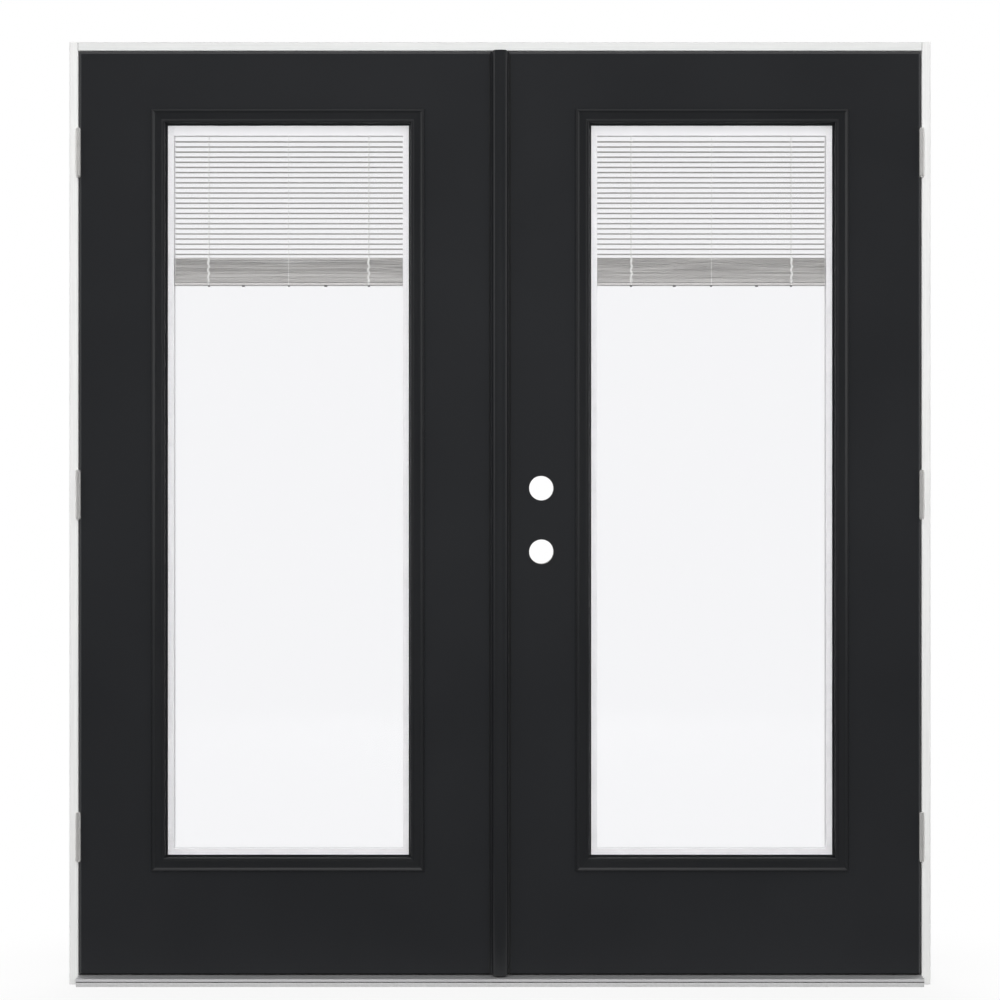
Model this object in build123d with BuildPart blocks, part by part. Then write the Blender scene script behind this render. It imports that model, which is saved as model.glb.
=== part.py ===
from build123d import *
import os

# An outswing pair of glazed doors in its frame, with blinds sealed between the panes.
# X runs along the wall, Y from outdoors to indoors, Z up. The origin lies on the floor, at mid
# width, in the plane of the frame's outdoor edge. Left-hand pieces are modelled and then mirrored.

# Frame
unit_width = 1886.0
unit_height = 2064.0
jamb_depth = 116.0
jamb_thick = 19.0
rabbet_depth = 48.0
stop_height = 12.7
kerf_width = 3.0
kerf_depth = 9.0
kerf_inset = 3.0
eased_edge = 1.5
overrun = 5.0

# Threshold: an aluminium tread on a composite base
nose_reach = 24.0
deck_height = 20.0
nose_drop = 2.5
nose_round = 2.2
tread_wall = 2.4
base_height = 11.7
shadow_groove = 2.0
groove_depth = 6.0
foot_height = 3.4
foot_setback = 1.5
bumper_rise = 12.0
bumper_setback = 1.0
bumper_slope = 2.0
bumper_chamfer = 4.0

# Seals
soft_gap = 0.3
strip_width = 11.0
strip_margin = 0.5
fin_gap = 0.2
bumper_seal_height = 6.0
bumper_seal_lift = 1.0

# Leaves
leaf_gap = 3.0
leaf_setback = 0.8
leaf_thick = 44.45
leaf_bottom = 24.0
meeting_half = 21.0
skin_thick = 1.6
edge_reveal = 3.6
edge_chamfer = 1.4
stile_width = 38.0
lock_stile_width = 47.5
rail_height = 60.0
sweep_width = 30.0
sweep_wall = 1.2
sweep_fins = 4
sweep_gap = 0.4

# Glazed lite of a leaf
lock_stile_face = 145.0
hinge_stile_face = 158.0
bottom_rail_face = 224.5
top_rail_face = 125.5
moulding_width = 34.0
ridge_round = 4.0
ridge_width = 8.0
ridge_height = 8.0
field_height = 5.2
field_fall = 1.1
bead_width = 12.0
bead_rise = 1.5
bead_crest_share = 0.33
bead_end_rise = 0.6
lip_width = 4.0
lip_thick = 1.2
glass_bite = 14.0
cut_gap = 4.5
leg_gap = 0.5
glass_thick = 3.0
glazing_thick = 25.4

# Blind between the panes
cassette_side = 13.0
cassette_foot = 13.0
headrail_height = 21.0
headrail_depth = 17.0
headrail_wall = 1.4
slat_width = 16.0
slat_crown = 1.7
slat_thick = 0.35
slat_pitch = 11.26
slat_count = 23
slat_end_gap = 1.2
first_slat_drop = 10.5
gather_gap = 9.0
gather_height = 56.0
gather_folds = 12
gather_groove = 0.9
bottom_rail_height = 5.5
cord_radius = 0.45
cord_stand = 0.7
ladder_inset = 75.5
plug_radius = 2.6
plug_sides = 8
plug_height = 2.2
plug_shares = (-1.0, -0.57, 0.0, 0.46, 1.0)

# Sliders that work the blind, on the indoor moulding
track_width = 5.0
track_height = 3.5
track_margin = 60.0
slider_gap = 0.3
slider_width = 12.0
slider_length = 58.0
slider_height = 8.0
slider_bevel = 2.0
grip_ribs = 5
grip_pitch = 4.0
grip_depth = 0.8
grip_groove = 2.0
lift_rise = 342.5
tilt_drop = 382.5

# Hinges
hinge_foot = 300.0
hinge_drop = 221.0
hinge_length = 101.6
hinge_reach = 38.0
plate_thick = 2.5
knuckle_radius = 5.5
knuckle_stand = 0.5
knuckle_count = 3
knuckle_gap = 0.3
pin_radius = 3.0
pin_fit = 0.05
tip_radius = 4.6
tip_height = 3.1

# Lock holes in the active leaf
backset = 69.85
lock_height = 923.4
lock_spacing = 139.7
bore_diameter = 54.0
latch_diameter = 25.4
latch_plate_width = 25.4
latch_plate_height = 57.2
latch_plate_depth = 2.5
lock_block_width = 100.0
lock_block_margin = 110.0

# Astragal on the passive leaf, with a flush bolt at each end
astragal_gap = 3.0
astragal_top_gap = 1.3
astragal_foot_gap = 2.0
nose_groove = 4.0
nose_groove_depth = 1.2
nose_stand = 17.0
nose_shoulder = 8.0
nose_shoulder_fall = 1.2
nose_side = 5.8
nose_bend_share = 0.31
foot_round = 8.0
top_round = 6.0
corner_share = 0.293
seal_notch_depth = 2.0
seal_notch_width = 8.0
seal_inset = 5.2
seal_stand = 2.2
bolt_radius = 5.0
bolt_length = 260.0
bolt_throw = 16.0
bolt_sink = 2.0
bolt_centre = 2.0
bolt_hole_gap = 0.4
bolt_run_gap = 0.3
bolt_hole_depth = 15.0
tab_width = 6.0
tab_height = 20.0
tab_inset = 0.5
tab_rise = 12.0
strike_width = 16.0
strike_height = 32.0
strike_depth = 9.0

# Places worked out from the sizes
half_width = unit_width / 2
rabbet_x = half_width - jamb_thick
stop_x = rabbet_x - stop_height
head_under = unit_height - jamb_thick
head_stop_under = head_under - stop_height
bumper_top = deck_height + bumper_rise
bumper_face = rabbet_depth + bumper_setback

leaf_edge = rabbet_x - leaf_gap
leaf_top = head_under - leaf_gap
leaf_back = leaf_setback + leaf_thick
leaf_mid = leaf_setback + leaf_thick / 2
stile_inner = leaf_edge - stile_width
lock_inner = meeting_half + lock_stile_width
core_front = leaf_setback + skin_thick
core_back = leaf_back - skin_thick

lite_near = meeting_half + lock_stile_face
lite_far = leaf_edge - hinge_stile_face
lite_x = (lite_near + lite_far) / 2
lite_bottom = leaf_bottom + bottom_rail_face
lite_top = leaf_top - top_rail_face
open_near = lite_near + moulding_width
open_far = lite_far - moulding_width
open_bottom = lite_bottom + moulding_width
open_top = lite_top - moulding_width
glass_near = open_near - glass_bite
glass_far = open_far + glass_bite
glass_bottom = open_bottom - glass_bite
glass_top = open_top + glass_bite
pane_front = leaf_mid - glazing_thick / 2
pane_back = leaf_mid + glazing_thick / 2
cavity_front = pane_front + glass_thick
cavity_back = pane_back - glass_thick
window_near = open_near + cassette_side
window_far = open_far - cassette_side
window_bottom = open_bottom + cassette_foot
headrail_under = open_top - headrail_height
ladder_spread = (window_far - window_near) / 2 - ladder_inset
cut_near = glass_near - cut_gap
cut_far = glass_far + cut_gap
cut_bottom = glass_bottom - cut_gap
cut_top = glass_top + cut_gap

slat_tops = [headrail_under - first_slat_drop - slat_pitch * i for i in range(slat_count)]
gather_top = slat_tops[-1] - gather_gap
gather_bottom = gather_top - gather_height
bottom_rail_under = gather_bottom - bottom_rail_height

low_hinge = leaf_bottom + hinge_foot
high_hinge = leaf_top - hinge_drop
hinge_heights = (low_hinge, (low_hinge + high_hinge) / 2, high_hinge)
hinge_x = rabbet_x - leaf_gap / 2
hinge_y = -knuckle_radius - knuckle_stand
knuckle_length = hinge_length / knuckle_count

lock_x = meeting_half + backset
lock_heights = [leaf_bottom + lock_height + lock_spacing * i for i in range(2)]
astragal_edge = meeting_half - astragal_gap
astragal_top = head_under - astragal_top_gap
astragal_bottom = deck_height + astragal_foot_gap
bolt_channel = 2 * (bolt_radius + bolt_run_gap)

os.makedirs("parts", exist_ok=True)


def block(low, high, mode=Mode.ADD):
    """A block between two corners, in the part that is open."""
    middle = [(a + b) / 2 for a, b in zip(low, high)]
    with Locations(tuple(middle)):
        Box(*[b - a for a, b in zip(low, high)], mode=mode)


def save(name, solid):
    """Label one piece and write its file."""
    solid.label = name
    export_step(solid, f"parts/{name}.step")


def save_pair(name, solid):
    """Write a left-hand piece and its mirror image for the right hand."""
    save(f"left_{name}", solid)
    save(f"right_{name}", solid.mirror(Plane.YZ))


# Side jamb: a rabbeted post with eased outdoor edges, its stop coped over the threshold and
# under the head
with BuildPart() as jamb:
    block((-half_width, 0, 0), (-rabbet_x, jamb_depth, unit_height))
    chamfer(jamb.edges().filter_by(Axis.Z).group_by(Axis.Y)[0], eased_edge)
    block((-rabbet_x, rabbet_depth, bumper_top), (-stop_x, jamb_depth, head_stop_under))
    kerf_x = -rabbet_x + kerf_inset
    block(
        (kerf_x, rabbet_depth, bumper_top),
        (kerf_x + kerf_width, rabbet_depth + kerf_depth, head_stop_under),
        mode=Mode.SUBTRACT,
    )
    for z in hinge_heights:
        block(
            (-rabbet_x - plate_thick, -overrun, z - hinge_length / 2),
            (-rabbet_x, hinge_reach, z + hinge_length / 2),
            mode=Mode.SUBTRACT,
        )
save_pair("jamb", jamb.part)

# Head jamb between the side jambs, with the kerf and the socket of the upper flush bolt
with BuildPart() as head_jamb:
    block((-rabbet_x, 0, head_under), (rabbet_x, jamb_depth, unit_height))
    chamfer(head_jamb.edges().filter_by(Axis.X).group_by(Axis.Y)[0], eased_edge)
    block((-rabbet_x, rabbet_depth, head_stop_under), (rabbet_x, jamb_depth, head_under))
    block(
        (-rabbet_x, rabbet_depth, head_under - kerf_inset - kerf_width),
        (rabbet_x, rabbet_depth + kerf_depth, head_under - kerf_inset),
        mode=Mode.SUBTRACT,
    )
    with BuildSketch(Plane.XY.offset(head_under)):
        with Locations((bolt_centre, leaf_mid)):
            Circle(bolt_radius + bolt_hole_gap)
    extrude(amount=bolt_hole_depth, mode=Mode.SUBTRACT)
save("head_jamb", head_jamb.part)

# Threshold tread: one extrusion with a sloped apron, a flat deck and a raised bumper indoors
nose_top = deck_height - nose_drop
nose_inner = -nose_reach + tread_wall
bumper_inner = bumper_face + bumper_slope
with BuildPart() as threshold_tread:
    with BuildSketch(Plane.YZ.offset(-rabbet_x)):
        with BuildLine():
            Line((-nose_reach, base_height), (-nose_reach, nose_top - nose_round))
            RadiusArc(
                (-nose_reach, nose_top - nose_round),
                (-nose_reach + nose_round, nose_top),
                nose_round,
            )
            Polyline(
                (-nose_reach + nose_round, nose_top),
                (0, deck_height),
                (bumper_face, deck_height),
                (bumper_inner, bumper_top),
                (jamb_depth - bumper_chamfer, bumper_top),
                (jamb_depth, bumper_top - bumper_chamfer / 2),
                (jamb_depth, base_height),
                (jamb_depth - tread_wall, base_height),
                (jamb_depth - tread_wall, bumper_top - tread_wall),
                (bumper_inner + tread_wall, bumper_top - tread_wall),
                (bumper_face + tread_wall, deck_height - tread_wall),
                (0, deck_height - tread_wall),
                (nose_inner, nose_top - tread_wall),
                (nose_inner, base_height),
                (-nose_reach, base_height),
            )
        make_face()
    extrude(amount=2 * rabbet_x)
    with BuildSketch(Plane.XY.offset(deck_height)):
        with Locations((bolt_centre, leaf_mid)):
            Circle(bolt_radius + bolt_hole_gap)
    extrude(amount=-tread_wall, mode=Mode.SUBTRACT)
save("threshold_tread", threshold_tread.part)

# Threshold base: fills the tread from below, with a shadow groove under its nose
groove_inner = -nose_reach + groove_depth
with BuildPart() as threshold_base:
    with BuildSketch(Plane.YZ.offset(-rabbet_x)):
        with BuildLine():
            Polyline(
                (-nose_reach + foot_setback, 0),
                (-nose_reach + foot_setback, foot_height),
                (-nose_reach, foot_height),
                (-nose_reach, base_height - shadow_groove),
                (groove_inner, base_height - shadow_groove),
                (groove_inner, base_height),
                (nose_inner, base_height),
                (nose_inner, nose_top - tread_wall),
                (0, deck_height - tread_wall),
                (bumper_face + tread_wall, deck_height - tread_wall),
                (bumper_inner + tread_wall, bumper_top - tread_wall),
                (jamb_depth - tread_wall, bumper_top - tread_wall),
                (jamb_depth - tread_wall, base_height),
                (jamb_depth, base_height),
                (jamb_depth, 0),
                close=True,
            )
        make_face()
    extrude(amount=2 * rabbet_x)
    with BuildSketch(Plane.XY.offset(deck_height - tread_wall)):
        with Locations((bolt_centre, leaf_mid)):
            Circle(bolt_radius + bolt_hole_gap)
    extrude(amount=-bolt_hole_depth, mode=Mode.SUBTRACT)
save("threshold_base", threshold_base.part)

# Bumper seal: a bulb along the raised edge, facing the foot of the leaves
seal_foot = leaf_bottom + bumper_seal_lift
with BuildPart() as bumper_seal:
    with BuildSketch(Plane.YZ.offset(-rabbet_x)):
        with BuildLine():
            slope = bumper_slope / bumper_rise
            low = (bumper_face + slope * (seal_foot - deck_height), seal_foot)
            high = (low[0] + slope * bumper_seal_height, seal_foot + bumper_seal_height)
            ThreePointArc(low, (leaf_back + soft_gap, (low[1] + high[1]) / 2), high)
            Line(high, low)
        make_face()
    extrude(amount=2 * rabbet_x)
save("bumper_seal", bumper_seal.part)

# Weatherstrips: a bulb against the back of the leaf and a fin pressed into the kerf
side_strip_top = head_under - strip_width - strip_margin
with BuildPart() as weatherstrip:
    with BuildSketch(Plane.XY.offset(bumper_top)):
        with BuildLine():
            near = (-rabbet_x + strip_margin, rabbet_depth)
            far = (-rabbet_x + strip_width, rabbet_depth)
            ThreePointArc(near, ((near[0] + far[0]) / 2, leaf_back + soft_gap), far)
            Line(far, near)
        make_face()
    extrude(amount=side_strip_top - bumper_top)
    block(
        (kerf_x + fin_gap, rabbet_depth, bumper_top),
        (kerf_x + kerf_width - fin_gap, rabbet_depth + kerf_depth - fin_gap, head_stop_under),
    )
save_pair("weatherstrip", weatherstrip.part)

with BuildPart() as head_weatherstrip:
    with BuildSketch(Plane.YZ.offset(-rabbet_x + strip_margin)):
        with BuildLine():
            high = (rabbet_depth, head_under - strip_margin)
            low = (rabbet_depth, head_under - strip_width)
            ThreePointArc(high, (leaf_back + soft_gap, (high[1] + low[1]) / 2), low)
            Line(low, high)
        make_face()
    extrude(amount=2 * (rabbet_x - strip_margin))
    block(
        (-rabbet_x, rabbet_depth, head_under - kerf_inset - kerf_width + fin_gap),
        (rabbet_x, rabbet_depth + kerf_depth - fin_gap, head_under - kerf_inset - fin_gap),
    )
save("head_weatherstrip", head_weatherstrip.part)


def hinge_leaves(plate_from, plate_to, odd_knuckles):
    """The three hinge leaves of one side, each a plate with its own share of the knuckles."""
    with BuildPart() as leaves:
        for z in hinge_heights:
            foot = z - hinge_length / 2
            block((plate_from, 0, foot), (plate_to, hinge_reach, foot + hinge_length))
            for i in range(knuckle_count):
                if i % 2 == odd_knuckles:
                    low = foot + knuckle_length * i + (knuckle_gap / 2 if i > 0 else 0)
                    high = foot + knuckle_length * (i + 1)
                    high -= knuckle_gap / 2 if i < knuckle_count - 1 else 0
                    block((plate_from, hinge_y, low), (plate_to, 0, high))
                    with Locations((-hinge_x, hinge_y, (low + high) / 2)):
                        Cylinder(knuckle_radius, high - low)
                        Cylinder(pin_radius + pin_fit, high - low, mode=Mode.SUBTRACT)
    return leaves.part


save_pair("hinge_frame_leaves", hinge_leaves(-rabbet_x - plate_thick, -rabbet_x, 0))
save_pair("hinge_door_leaves", hinge_leaves(-leaf_edge, -leaf_edge + plate_thick, 1))

# Hinge pins with a button tip at both ends
with BuildPart() as hinge_pins:
    for z in hinge_heights:
        with BuildSketch(Plane((-hinge_x, hinge_y, z), x_dir=(1, 0, 0), z_dir=(0, -1, 0))):
            with BuildLine():
                end = hinge_length / 2 + tip_height
                shoulder = hinge_length / 2
                Polyline(
                    (0, end),
                    (tip_radius, end),
                    (tip_radius, shoulder),
                    (pin_radius, shoulder),
                    (pin_radius, -shoulder),
                    (tip_radius, -shoulder),
                    (tip_radius, -end),
                    (0, -end),
                    close=True,
                )
            make_face()
        revolve(axis=Axis((-hinge_x, hinge_y, 0), (0, 0, 1)))
save_pair("hinge_pins", hinge_pins.part)


def stile(edge, inner, mortised):
    """An edge member of the leaf: bare chamfered edge strip outside, skins lapped on the rest."""
    inward = 1 if inner > edge else -1
    strip = edge + inward * edge_reveal
    bevel = edge + inward * edge_chamfer
    with BuildPart() as member:
        with BuildSketch(Plane.XY.offset(leaf_bottom)):
            with BuildLine():
                Polyline(
                    (edge, leaf_setback + edge_chamfer),
                    (bevel, leaf_setback),
                    (strip, leaf_setback),
                    (strip, core_front),
                    (inner, core_front),
                    (inner, core_back),
                    (strip, core_back),
                    (strip, leaf_back),
                    (bevel, leaf_back),
                    (edge, leaf_back - edge_chamfer),
                    close=True,
                )
            make_face()
        extrude(amount=leaf_top - leaf_bottom)
        if mortised:
            for z in hinge_heights:
                block(
                    (edge - overrun, leaf_setback - overrun, z - hinge_length / 2),
                    (edge + plate_thick, hinge_reach, z + hinge_length / 2),
                    mode=Mode.SUBTRACT,
                )
    return member.part


def bored(blank):
    """A piece of the active leaf with the two through holes for the lock set."""
    with BuildPart() as drilled:
        add(blank)
        with BuildSketch(Plane.XZ.offset(overrun)):
            with Locations(*[(lock_x, z) for z in lock_heights]):
                Circle(bore_diameter / 2)
        extrude(amount=-leaf_back - 2 * overrun, mode=Mode.SUBTRACT)
    return drilled.part


save_pair("hinge_stile", stile(-leaf_edge, -stile_inner, True))
lock_stile = stile(-meeting_half, -lock_inner, False)
save("left_lock_stile", lock_stile)

# Lock stile of the active leaf: lock holes, and the latch holes with their face plate recesses
with BuildPart() as right_lock_stile:
    add(bored(lock_stile.mirror(Plane.YZ)))
    for z in lock_heights:
        block(
            (meeting_half - overrun, leaf_mid - latch_plate_width / 2, z - latch_plate_height / 2),
            (
                meeting_half + latch_plate_depth,
                leaf_mid + latch_plate_width / 2,
                z + latch_plate_height / 2,
            ),
            mode=Mode.SUBTRACT,
        )
        with BuildSketch(Plane.YZ.offset(meeting_half)):
            with Locations((leaf_mid, z)):
                Circle(latch_diameter / 2)
        extrude(amount=backset, mode=Mode.SUBTRACT)
save("right_lock_stile", right_lock_stile.part)

# Top rail, with the same bare strip along its upper edge, and bottom rail
with BuildPart() as top_rail:
    with BuildSketch(Plane.YZ.offset(-stile_inner)):
        with BuildLine():
            Polyline(
                (core_front, leaf_top - rail_height),
                (core_front, leaf_top - edge_reveal),
                (leaf_setback, leaf_top - edge_reveal),
                (leaf_setback, leaf_top - edge_chamfer),
                (leaf_setback + edge_chamfer, leaf_top),
                (leaf_back - edge_chamfer, leaf_top),
                (leaf_back, leaf_top - edge_chamfer),
                (leaf_back, leaf_top - edge_reveal),
                (core_back, leaf_top - edge_reveal),
                (core_back, leaf_top - rail_height),
                close=True,
            )
        make_face()
    extrude(amount=stile_inner - lock_inner)
save_pair("top_rail", top_rail.part)

with BuildPart() as bottom_rail:
    block(
        (-stile_inner, core_front, leaf_bottom),
        (-lock_inner, core_back, leaf_bottom + rail_height),
    )
save_pair("bottom_rail", bottom_rail.part)

# Foam core inside the stiles and rails, round the cut-out for the lite
with BuildPart() as core:
    block(
        (-stile_inner, core_front, leaf_bottom + rail_height),
        (-lock_inner, core_back, leaf_top - rail_height),
    )
    block((-cut_far, core_front, cut_bottom), (-cut_near, core_back, cut_top), mode=Mode.SUBTRACT)
save("left_core", core.part)

lock_block_low = (lock_inner, core_front, lock_heights[0] - lock_block_margin)
lock_block_high = (lock_inner + lock_block_width, core_back, lock_heights[1] + lock_block_margin)
with BuildPart() as right_core:
    add(core.part.mirror(Plane.YZ))
    block(lock_block_low, lock_block_high, mode=Mode.SUBTRACT)
save("right_core", right_core.part)

# Lock block: solid timber round the inner part of the lock holes
with BuildPart() as lock_block:
    block(lock_block_low, lock_block_high)
save("right_lock_block", bored(lock_block.part))


def skin(front, back):
    """One face sheet of the leaf, short of the bare edge strips and cut out for the lite."""
    with BuildPart() as sheet:
        block(
            (-leaf_edge + edge_reveal, front, leaf_bottom),
            (-meeting_half - edge_reveal, back, leaf_top - edge_reveal),
        )
        block((-cut_far, front, cut_bottom), (-cut_near, back, cut_top), mode=Mode.SUBTRACT)
    return sheet.part


for name, sheet in (
    ("outdoor_skin", skin(leaf_setback, core_front)),
    ("indoor_skin", skin(core_back, leaf_back)),
):
    save(f"left_{name}", sheet)
    save(f"right_{name}", bored(sheet.mirror(Plane.YZ)))


def lite_frame(face, outward):
    """A mitred moulding on one face of the leaf: ridge, field, bead, glazing lip and a hidden leg."""
    bead_start = moulding_width - bead_width
    bead_crest = bead_start + bead_width * bead_crest_share
    bead_end = moulding_width - lip_width
    leg_outer = cut_near - lite_near + leg_gap
    leg_inner = glass_near - lite_near - leg_gap
    to_glass = leaf_setback - pane_front
    to_middle = leaf_setback - leaf_mid
    bead_foot = field_height - field_fall
    with BuildPart() as moulding:
        with BuildLine() as route:
            Polyline(
                (-lite_x, face, lite_bottom),
                (-lite_near, face, lite_bottom),
                (-lite_near, face, lite_top),
                (-lite_far, face, lite_top),
                (-lite_far, face, lite_bottom),
                close=True,
            )
        section = Plane((-lite_x, face, lite_bottom), x_dir=(0, 0, 1), z_dir=(-outward, 0, 0))
        with BuildSketch(section):
            with BuildLine():
                Line((0, 0), (0, ridge_height - ridge_round))
                RadiusArc(
                    (0, ridge_height - ridge_round),
                    (ridge_round, ridge_height),
                    ridge_round,
                )
                Line((ridge_round, ridge_height), (ridge_width, field_height))
                Line((ridge_width, field_height), (bead_start, bead_foot))
                ThreePointArc(
                    (bead_start, bead_foot),
                    (bead_crest, bead_foot + bead_rise),
                    (bead_end, bead_end_rise),
                )
                Polyline(
                    (bead_end, bead_end_rise),
                    (bead_end, to_glass + lip_thick),
                    (moulding_width, to_glass + lip_thick),
                    (moulding_width, to_glass),
                    (leg_inner, to_glass),
                    (leg_inner, to_middle),
                    (leg_outer, to_middle),
                    (leg_outer, 0),
                    (0, 0),
                )
            make_face()
        sweep(path=route.line, transition=Transition.RIGHT)
    return moulding.part


save_pair("outdoor_lite_frame", lite_frame(leaf_setback, -1))

# Indoor moulding, with a track on each upright for the sliders
field_middle = (ridge_width + moulding_width - bead_width) / 2
track_foot = leaf_back + field_height - field_fall
track_top = leaf_back + field_height + track_height
lift_x = lite_far - field_middle
tilt_x = lite_near + field_middle
with BuildPart() as indoor_lite_frame:
    add(lite_frame(leaf_back, 1))
    for x in (lift_x, tilt_x):
        block(
            (-x - track_width / 2, track_foot, open_bottom + track_margin),
            (-x + track_width / 2, track_top, open_top - track_margin),
        )
save_pair("indoor_lite_frame", indoor_lite_frame.part)


def slider(x, z):
    """A ribbed saddle that runs on a track of the indoor moulding."""
    seat = leaf_back + field_height + slider_gap
    crown = seat + slider_height
    with BuildPart() as saddle:
        block(
            (-x - slider_width / 2, seat, z - slider_length / 2),
            (-x + slider_width / 2, crown, z + slider_length / 2),
        )
        chamfer(saddle.faces().sort_by(Axis.Y)[-1].edges(), slider_bevel)
        half_groove = track_width / 2 + slider_gap
        block(
            (-x - half_groove, seat, z - slider_length / 2),
            (-x + half_groove, track_top + slider_gap, z + slider_length / 2),
            mode=Mode.SUBTRACT,
        )
        for i in range(grip_ribs):
            rib = z + grip_pitch * (i - (grip_ribs - 1) / 2)
            block(
                (-x - slider_width / 2, crown - grip_depth, rib - grip_groove / 2),
                (-x + slider_width / 2, crown, rib + grip_groove / 2),
                mode=Mode.SUBTRACT,
            )
    return saddle.part


save_pair("lift_slider", slider(lift_x, open_bottom + lift_rise))
save_pair("tilt_slider", slider(tilt_x, open_top - tilt_drop))


def pane(front, back):
    """One sheet of the sealed glazing."""
    with BuildPart() as sheet:
        block((-glass_far, front, glass_bottom), (-glass_near, back, glass_top))
    return sheet.part


save_pair("outdoor_pane", pane(pane_front, cavity_front))
save_pair("indoor_pane", pane(cavity_back, pane_back))

# Blind cassette: the white spacer between the panes
with BuildPart() as cassette:
    block((-glass_far, cavity_front, glass_bottom), (-glass_near, cavity_back, glass_top))
    block(
        (-window_far, cavity_front, window_bottom),
        (-window_near, cavity_back, open_top),
        mode=Mode.SUBTRACT,
    )
save_pair("blind_cassette", cassette.part)

# Head rail: a channel under the top of the cassette, open upwards
rail_front = leaf_mid - headrail_depth / 2
rail_back = leaf_mid + headrail_depth / 2
with BuildPart() as headrail:
    block((-window_far, rail_front, headrail_under), (-window_near, rail_back, open_top))
    block(
        (-window_far, rail_front + headrail_wall, headrail_under + headrail_wall),
        (-window_near, rail_back - headrail_wall, open_top),
        mode=Mode.SUBTRACT,
    )
save_pair("blind_headrail", headrail.part)

# Open slats, each a crowned strip
slat_front = leaf_mid - slat_width / 2
slat_back = leaf_mid + slat_width / 2
with BuildPart() as slats:
    for z in slat_tops:
        with BuildSketch(Plane.YZ.offset(-window_far + slat_end_gap)):
            with BuildLine():
                low = z - slat_crown
                ThreePointArc((slat_front, low), (leaf_mid, z), (slat_back, low))
                Line((slat_back, low), (slat_back, low - slat_thick))
                ThreePointArc(
                    (slat_back, low - slat_thick),
                    (leaf_mid, z - slat_thick),
                    (slat_front, low - slat_thick),
                )
                Line((slat_front, low - slat_thick), (slat_front, low))
            make_face()
        extrude(amount=window_far - window_near - 2 * slat_end_gap)
save_pair("blind_slats", slats.part)

# Gathered slats on the bottom rail, with cord plugs under it
fold = gather_height / gather_folds
with BuildPart() as gather:
    with BuildSketch(Plane.YZ.offset(-window_far + slat_end_gap)):
        with BuildLine():
            outline = [(slat_front, bottom_rail_under), (slat_front, gather_bottom)]
            for i in range(gather_folds):
                outline.append((slat_front + gather_groove, gather_bottom + fold * i))
                outline.append((slat_front, gather_bottom + fold * (i + 0.5)))
            outline.append((slat_front + gather_groove, gather_top))
            far_side = [(2 * leaf_mid - y, z) for y, z in reversed(outline)]
            Polyline(*outline, *far_side, close=True)
        make_face()
    extrude(amount=window_far - window_near - 2 * slat_end_gap)
    with BuildSketch(Plane.XY.offset(bottom_rail_under)):
        with Locations(*[(-lite_x + share * ladder_spread, leaf_mid) for share in plug_shares]):
            RegularPolygon(plug_radius, plug_sides)
    extrude(amount=-plug_height)
save_pair("blind_bottom_rail", gather.part)

# Ladder cords before and behind the slats, and the lift cord at mid width
cord_front = slat_front - cord_stand
cord_back = slat_back + cord_stand
cord_places = [
    (-lite_x - ladder_spread, cord_front),
    (-lite_x - ladder_spread, cord_back),
    (-lite_x, cord_front),
    (-lite_x + ladder_spread, cord_front),
    (-lite_x + ladder_spread, cord_back),
]
with BuildPart() as cords:
    with BuildSketch(Plane.XY.offset(bottom_rail_under)):
        with Locations(*cord_places):
            Rectangle(2 * cord_radius, 2 * cord_radius)
    extrude(amount=headrail_under - bottom_rail_under)
save_pair("blind_cords", cords.part)

# Door sweep: a strip under the leaf with fins that end just above the deck
sweep_front = leaf_mid - sweep_width / 2
fin_pitch = sweep_width / sweep_fins
with BuildPart() as door_sweep:
    block(
        (-leaf_edge, sweep_front, leaf_bottom - sweep_wall),
        (-meeting_half, sweep_front + sweep_width, leaf_bottom),
    )
    for i in range(sweep_fins):
        fin = sweep_front + fin_pitch * (i + 0.5)
        block(
            (-leaf_edge, fin - sweep_wall / 2, deck_height + sweep_gap),
            (-meeting_half, fin + sweep_wall / 2, leaf_bottom - sweep_wall),
        )
save_pair("door_sweep", door_sweep.part)

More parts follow.
